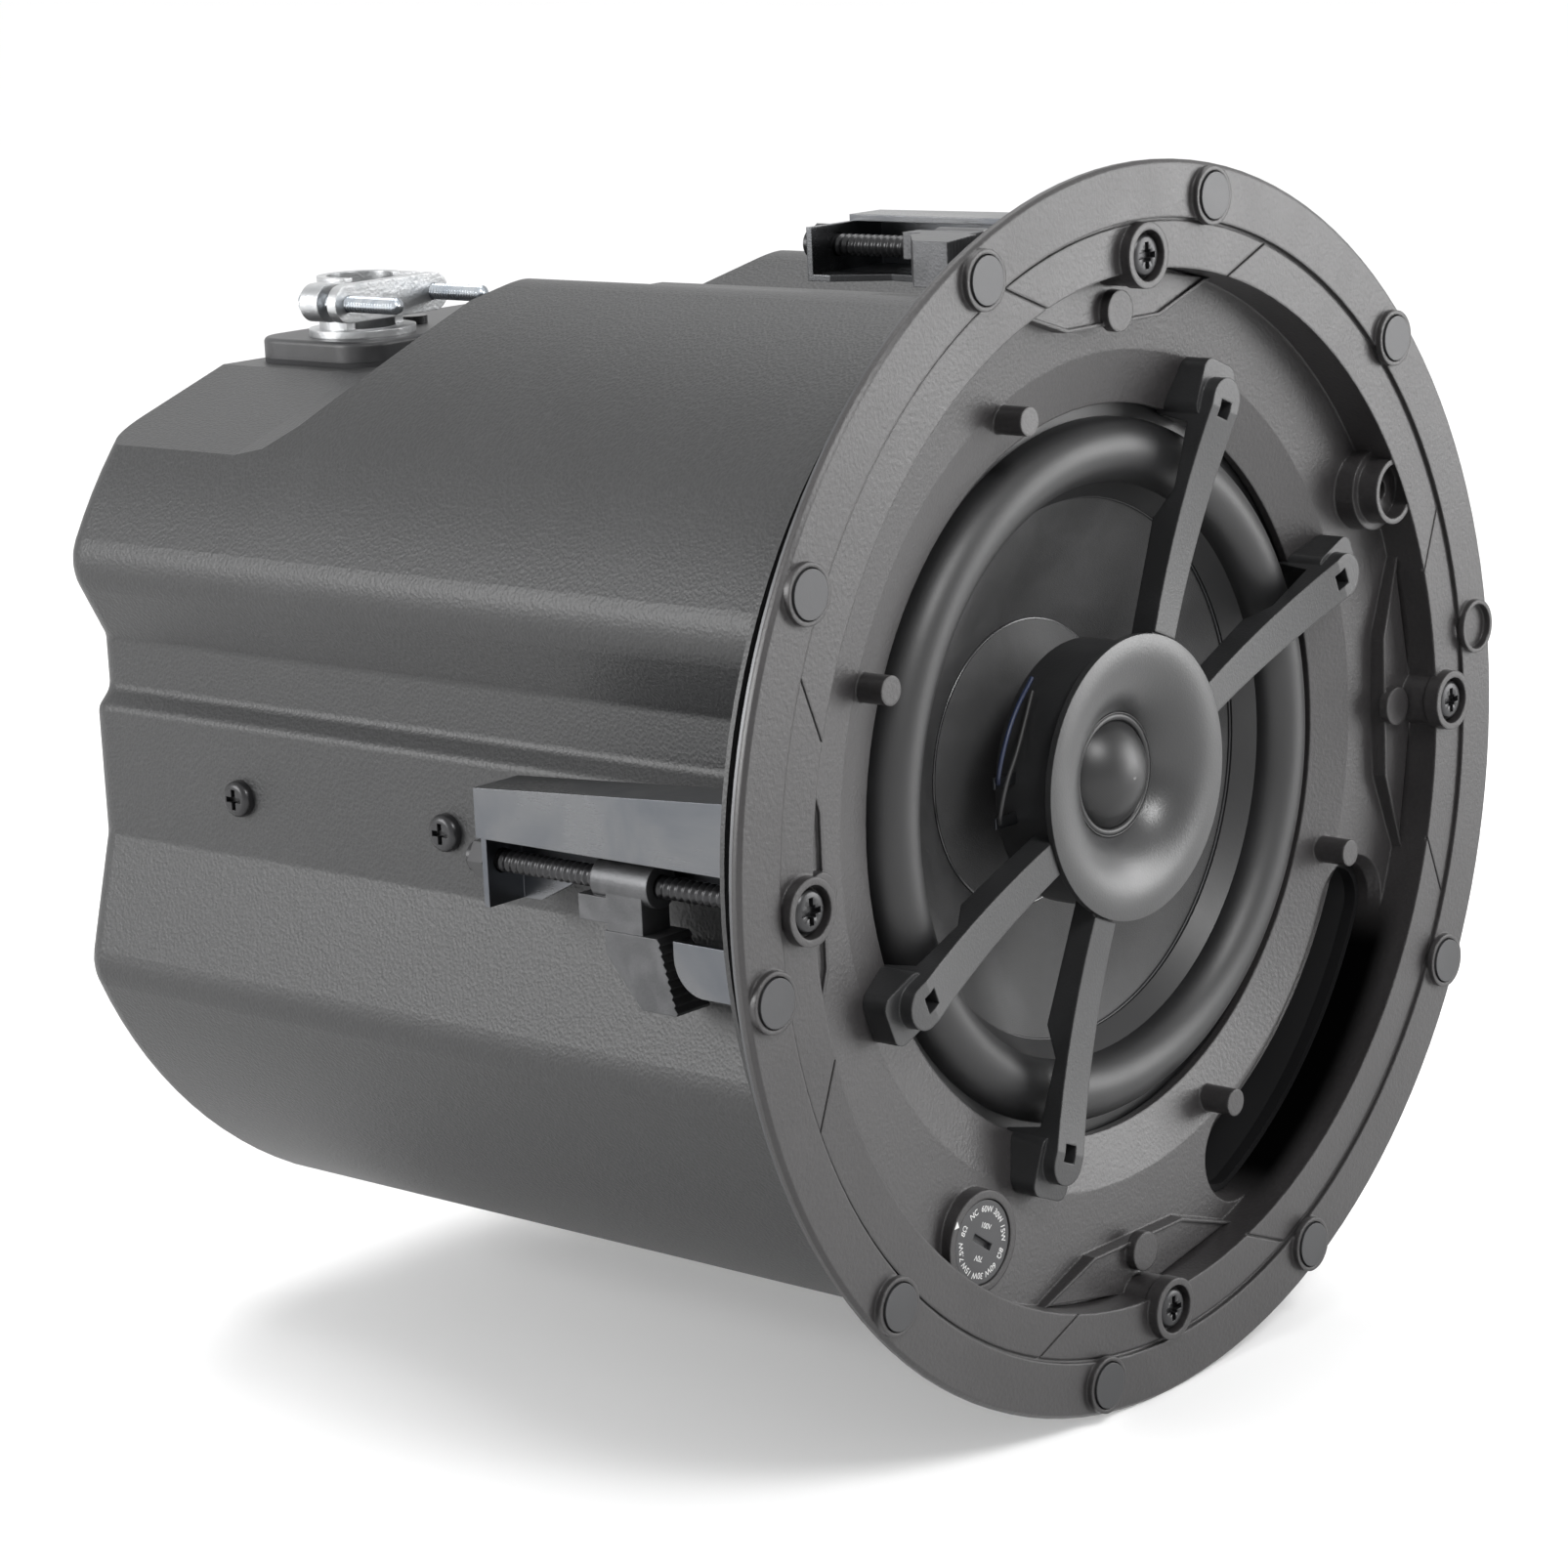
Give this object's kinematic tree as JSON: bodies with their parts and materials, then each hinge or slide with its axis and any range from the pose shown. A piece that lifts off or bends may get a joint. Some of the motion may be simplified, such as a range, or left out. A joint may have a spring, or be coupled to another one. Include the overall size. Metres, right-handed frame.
{
  "type": "flush-mount coaxial loudspeaker",
  "caption": "Round ceiling loudspeaker with a ported baffle, coaxial tweeter on a four-armed bridge, steel back can, swing-out clamps and a cable clamp",
  "frame": {"origin": "on the flange axis, in the plane of the flange's rear seating face, which is also the front end of the cut-out collar", "axes": "+Y runs along the axis from the baffle to the back can, +Z points to the side with the cable clamp, +X is to the right seen from the front"},
  "size_m": [0.28, 0.2375, 0.28],
  "materials": {
    "baffle_plastic": "black moulded plastic with a fine satin texture",
    "duct_plastic": "smooth black moulded plastic",
    "steel_can": "charcoal textured powder coat on sheet steel",
    "zinc_ring": "bright plated steel sheet",
    "gasket_foam": "black foam gasket",
    "bracket_steel": "plated steel sheet with faint blue stains",
    "screw_steel": "black oxide steel",
    "dog_cast": "dark die-cast metal with a fine cast skin",
    "magnet_metal": "black coated disc magnets",
    "surround_rubber": "satin black rubber",
    "cone_paper": "felted dark grey cone paper",
    "dome_fabric": "doped black fabric",
    "copper_wire": "enamelled copper wire",
    "spider_cloth": "resin-coated corrugated cloth",
    "basket_steel": "black painted pressed steel",
    "motor_steel": "zinc plated steel",
    "ferrite": "sintered ferrite",
    "core_steel": "varnished laminated steel",
    "board": "green circuit board",
    "black_nylon": "black nylon",
    "capacitor_sleeve": "shrink sleeve",
    "wadding_fibre": "loose polyester fibre",
    "cover_plastic": "black moulded plastic",
    "zinc_cast": "bright zinc die-casting",
    "zinc_screw": "bright zinc plated screws",
    "block_plastic": "green terminal block",
    "tinned": "tinned brass tags"
  },
  "bodies": {
    "cabinet": {"back_can": "steel_can", "baffle": "baffle_plastic", "board_posts": "black_nylon", "cable_clamp_body": "zinc_cast", "cable_clamp_saddle": "zinc_cast", "can_gasket": "gasket_foam", "capacitors": "capacitor_sleeve", "clamp_bracket_1": "bracket_steel", "clamp_bracket_2": "bracket_steel", "clamp_bracket_3": "bracket_steel", "clamp_bracket_4": "bracket_steel", "cover_gasket": "gasket_foam", "cover_screws": "screw_steel", "crossover_board": "board", "grille_magnets": "magnet_metal", "inductor": "copper_wire", "locknut": "zinc_cast", "mounting_ring": "zinc_ring", "port_duct": "duct_plastic", "rim_gasket": "gasket_foam", "selector_switch": "black_nylon", "side_screws": "screw_steel", "squeeze_screws": "zinc_screw", "terminal_block": "block_plastic", "terminal_cover": "cover_plastic", "transformer_coil": "copper_wire", "transformer_core": "core_steel", "transformer_frame": "motor_steel", "tweeter_bridge": "baffle_plastic", "tweeter_coil": "copper_wire", "tweeter_dome": "dome_fabric", "tweeter_magnet": "ferrite", "tweeter_plate": "motor_steel", "tweeter_terminals": "tinned", "tweeter_waveguide": "baffle_plastic", "tweeter_yoke": "motor_steel", "wadding": "wadding_fibre", "woofer_basket": "basket_steel", "woofer_magnet": "ferrite", "woofer_screws": "screw_steel", "woofer_spider": "spider_cloth", "woofer_surround": "surround_rubber", "woofer_top_plate": "motor_steel", "woofer_yoke": "motor_steel"},
    "cone": {"woofer_cone": "cone_paper", "woofer_dust_cap": "cone_paper", "woofer_voice_coil": "copper_wire"},
    "dial": {"selector_dial": "black_nylon"},
    "clamp_screw_1": {"clamp_screw_1": "screw_steel", "clamp_nut_1": "screw_steel"},
    "clamp_dog_1": {"clamp_dog_1": "dog_cast"},
    "clamp_screw_2": {"clamp_screw_2": "screw_steel", "clamp_nut_2": "screw_steel"},
    "clamp_dog_2": {"clamp_dog_2": "dog_cast"},
    "clamp_screw_3": {"clamp_screw_3": "screw_steel", "clamp_nut_3": "screw_steel"},
    "clamp_dog_3": {"clamp_dog_3": "dog_cast"},
    "clamp_screw_4": {"clamp_screw_4": "screw_steel", "clamp_nut_4": "screw_steel"},
    "clamp_dog_4": {"clamp_dog_4": "dog_cast"}
  },
  "joints": [
    {"name": "cone_travel", "type": "slide", "parent": "cabinet", "child": "cone", "axis": [0, 1, 0], "range_m": [-0.004, 0.004], "stiffness_N_per_m": 1500, "deforming": ["woofer_surround", "woofer_spider"]},
    {"name": "selector_turn", "type": "hinge", "parent": "cabinet", "child": "dial", "pos_m": [-0.0565, 0, -0.0897], "axis": [0, -1, 0], "range_deg": [0, 144]},
    {"name": "left_clamp_turn", "type": "hinge", "parent": "cabinet", "child": "clamp_screw_1", "pos_m": [-0.11975, 0.04, 0], "axis": [0, 1, 0], "range_deg": [0, 90]},
    {"name": "left_clamp_travel", "type": "slide", "parent": "clamp_screw_1", "child": "clamp_dog_1", "axis": [0, 1, 0], "range_m": [-0.016, 0.024]},
    {"name": "bottom_clamp_turn", "type": "hinge", "parent": "cabinet", "child": "clamp_screw_2", "pos_m": [0, 0.04, -0.11975], "axis": [0, 1, 0], "range_deg": [0, 90]},
    {"name": "bottom_clamp_travel", "type": "slide", "parent": "clamp_screw_2", "child": "clamp_dog_2", "axis": [0, 1, 0], "range_m": [-0.016, 0.024]},
    {"name": "right_clamp_turn", "type": "hinge", "parent": "cabinet", "child": "clamp_screw_3", "pos_m": [0.11975, 0.04, 0], "axis": [0, 1, 0], "range_deg": [0, 90]},
    {"name": "right_clamp_travel", "type": "slide", "parent": "clamp_screw_3", "child": "clamp_dog_3", "axis": [0, 1, 0], "range_m": [-0.016, 0.024]},
    {"name": "top_clamp_turn", "type": "hinge", "parent": "cabinet", "child": "clamp_screw_4", "pos_m": [0, 0.04, 0.11975], "axis": [0, 1, 0], "range_deg": [0, 90]},
    {"name": "top_clamp_travel", "type": "slide", "parent": "clamp_screw_4", "child": "clamp_dog_4", "axis": [0, 1, 0], "range_m": [-0.016, 0.024]}
  ]
}
